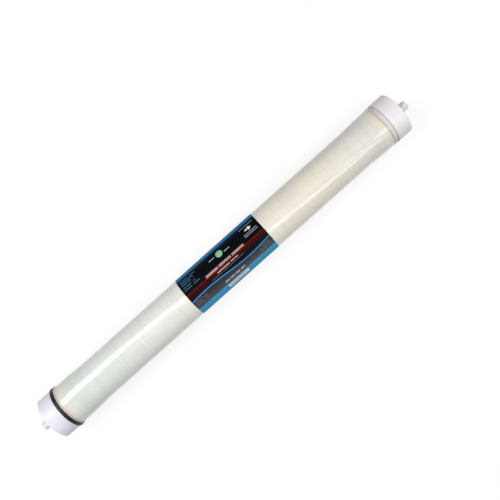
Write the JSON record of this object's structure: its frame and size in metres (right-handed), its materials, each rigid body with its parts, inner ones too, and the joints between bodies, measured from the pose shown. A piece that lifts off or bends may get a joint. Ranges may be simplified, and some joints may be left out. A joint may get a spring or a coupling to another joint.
{
  "type": "ro membrane element",
  "caption": "Spiral-wound reverse osmosis membrane element: a glass-fibre wrapped roll on a product tube, with spoked end caps, a brine seal and a printed label.",
  "frame": {"origin": "middle of the element, on its axis, which is the centre of its bounding box", "axes": "+X along the axis in the direction of flow, from the feed end with the brine seal to the concentrate end; +Z towards the middle of the label; +Y completes the right-handed frame"},
  "size_m": [1.016, 0.1004, 0.1004],
  "materials": {
    "shell": "clear resin over wound glass fibre, satin gloss",
    "cap": "moulded white plastic, smooth",
    "seal": "smooth moulded rubber",
    "tube": "turned white plastic",
    "label": "printed film, glossy",
    "membrane": "coated non-woven sheet",
    "spacer": "extruded net",
    "carrier": "stiffened knit",
    "tape": "clear film tape"
  },
  "bodies": {
    "root": {"product_tube": "tube", "tube_carrier": "carrier", "membrane_leaf_1": "membrane", "feed_spacer_1": "spacer", "membrane_leaf_2": "membrane", "feed_spacer_2": "spacer", "membrane_leaf_3": "membrane", "feed_spacer_3": "spacer", "membrane_leaf_4": "membrane", "feed_spacer_4": "spacer", "membrane_leaf_5": "membrane", "feed_spacer_5": "spacer", "membrane_leaf_6": "membrane", "feed_spacer_6": "spacer", "binding_tape": "tape", "feed_end_cap": "cap", "concentrate_end_cap": "cap", "brine_seal": "seal", "outer_shell": "shell", "label": "label"}
  },
  "joints": []
}
